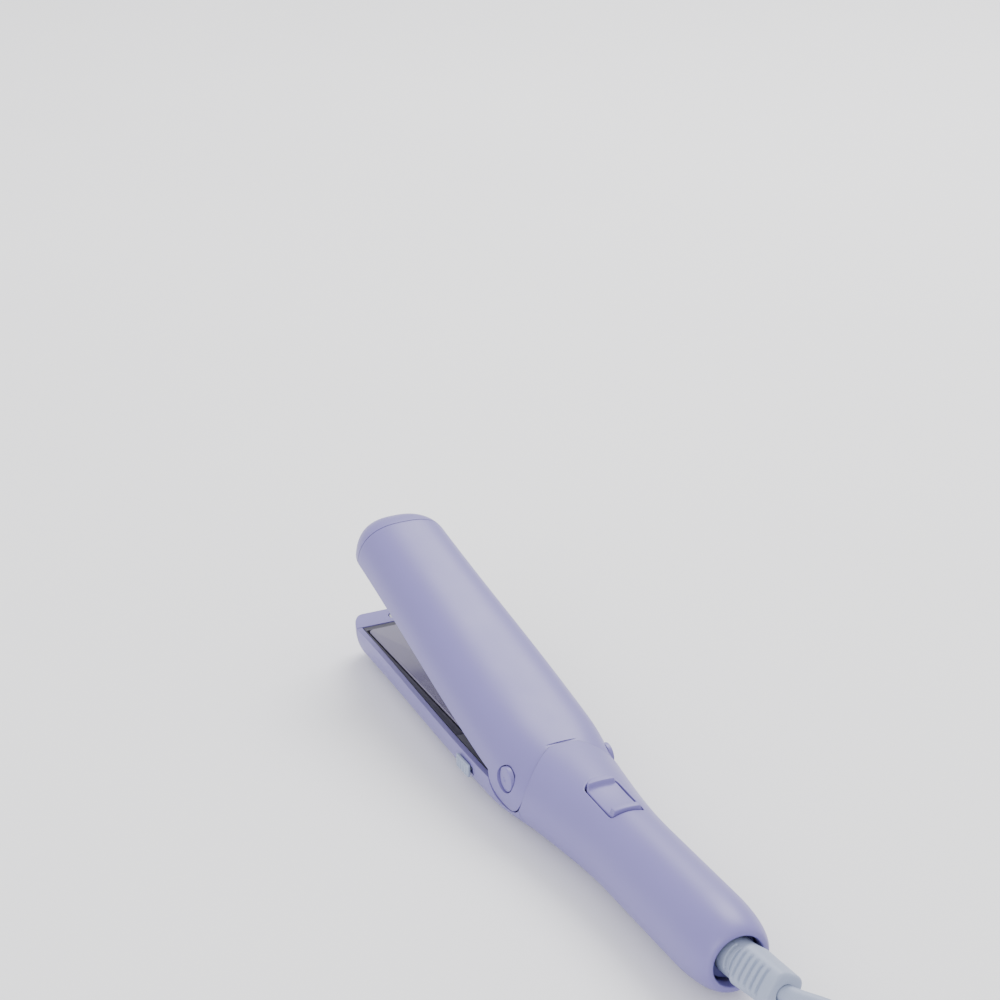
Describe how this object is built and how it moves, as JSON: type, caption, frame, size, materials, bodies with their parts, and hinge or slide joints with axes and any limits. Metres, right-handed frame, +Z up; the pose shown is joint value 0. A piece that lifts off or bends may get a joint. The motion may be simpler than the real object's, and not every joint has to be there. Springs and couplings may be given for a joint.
{
  "type": "flat iron",
  "caption": "Corded hair straightening iron: a round handle tail with a rocker switch, a sprung upper arm that closes on a lower arm, floating heated plates and a swivel cord.",
  "frame": {"origin": "centre of the iron's footprint on the table, without its cord", "axes": "+X along the handle towards the tail and the cord, +Z up, the switch on top"},
  "size_m": [0.5292, 0.0578, 0.0671],
  "materials": {
    "shell": "satin lavender",
    "dark_plastic": "fine matte",
    "inner_plastic": "satin blue violet",
    "cord_plastic": "soft satin, grey white",
    "plate_coat": "smooth ceramic coat",
    "steel": "plain",
    "brass": "plain",
    "ceramic": "unglazed",
    "silicone": "soft matte",
    "board": "lacquered",
    "wire": "plain"
  },
  "bodies": {
    "handle": {"handle_top_shell": "shell", "lower_housing": "shell", "switch_module": "dark_plastic", "control_board": "board", "mains_capacitor": "dark_plastic", "triac": "steel", "housing_screw_rear": "steel", "housing_screw_middle": "steel", "mains_lead_live": "wire", "mains_lead_neutral": "wire", "lower_heater_lead_live": "wire", "lower_heater_lead_neutral": "wire", "hinge_bracket": "steel", "hinge_pin": "steel", "opening_spring": "steel", "lower_cushion_rear": "silicone", "lower_cushion_front": "silicone", "lower_plate_tray": "dark_plastic", "lower_liner": "dark_plastic", "lower_liner_screw": "steel", "lower_cool_tip": "shell", "lower_tip_screw": "steel", "swivel_collar": "inner_plastic", "cord_lead": "cord_plastic", "cord_hank": "cord_plastic", "cord_tie": "dark_plastic", "plug_body": "cord_plastic", "plug_pin_left": "steel", "plug_pin_right": "steel"},
    "upper_arm": {"upper_arm_shell": "shell", "upper_cushion_rear": "silicone", "upper_cushion_front": "silicone", "upper_plate_tray": "dark_plastic", "upper_liner": "dark_plastic", "upper_liner_screw": "steel", "upper_cool_tip": "shell", "upper_tip_screw": "steel", "upper_heater_lead_live": "wire", "upper_heater_lead_neutral": "wire", "hinge_cap_left": "shell", "hinge_cap_right": "shell"},
    "upper_plate": {"upper_heater_plate": "plate_coat", "upper_heater": "ceramic"},
    "lower_plate": {"lower_heater_plate": "plate_coat", "lower_heater": "ceramic"},
    "switch": {"rocker_switch": "shell"},
    "lock": {"lock_slider": "cord_plastic"},
    "swivel": {"swivel_ball": "inner_plastic", "brush_holder": "dark_plastic"},
    "relief": {"strain_relief": "cord_plastic", "swivel_clip": "steel", "contact_ring_outer": "brass", "contact_ring_inner": "brass"}
  },
  "joints": [
    {"name": "arm_hinge", "type": "hinge", "parent": "handle", "child": "upper_arm", "pos_m": [0.00165, 0, 0.0225], "axis": [0, 1, 0], "range_deg": [-12, 0], "stiffness_Nm_per_rad": 1, "springref_deg": 20.05, "deforming": ["opening_spring"]},
    {"name": "lower_plate_float", "type": "slide", "parent": "handle", "child": "lower_plate", "axis": [0, 0, -1], "range_m": [0, 0.001], "stiffness_N_per_m": 4000, "springref_m": -0.0004, "deforming": ["lower_cushion_rear", "lower_cushion_front"]},
    {"name": "upper_plate_float", "type": "slide", "parent": "upper_arm", "child": "upper_plate", "axis": [0.2079, 0, 0.9781], "range_m": [0, 0.001], "stiffness_N_per_m": 4000, "springref_m": -0.0004, "deforming": ["upper_cushion_rear", "upper_cushion_front"]},
    {"name": "switch_rocker", "type": "hinge", "parent": "handle", "child": "switch", "pos_m": [0.04565, 0, 0.0311], "axis": [0, 1, 0], "range_deg": [-6, 6]},
    {"name": "lock_slide", "type": "slide", "parent": "handle", "child": "lock", "axis": [1, 0, 0], "range_m": [0, 0.0034]},
    {"name": "cord_tilt", "type": "hinge", "parent": "handle", "child": "swivel", "pos_m": [0.12665, 0, 0.0175], "axis": [0, 0, 1], "range_deg": [-17, 3]},
    {"name": "cord_spin", "type": "hinge", "parent": "swivel", "child": "relief", "pos_m": [0.12665, 0, 0.0175], "axis": [0.9925, 0.1219, 0], "continuous": true}
  ]
}
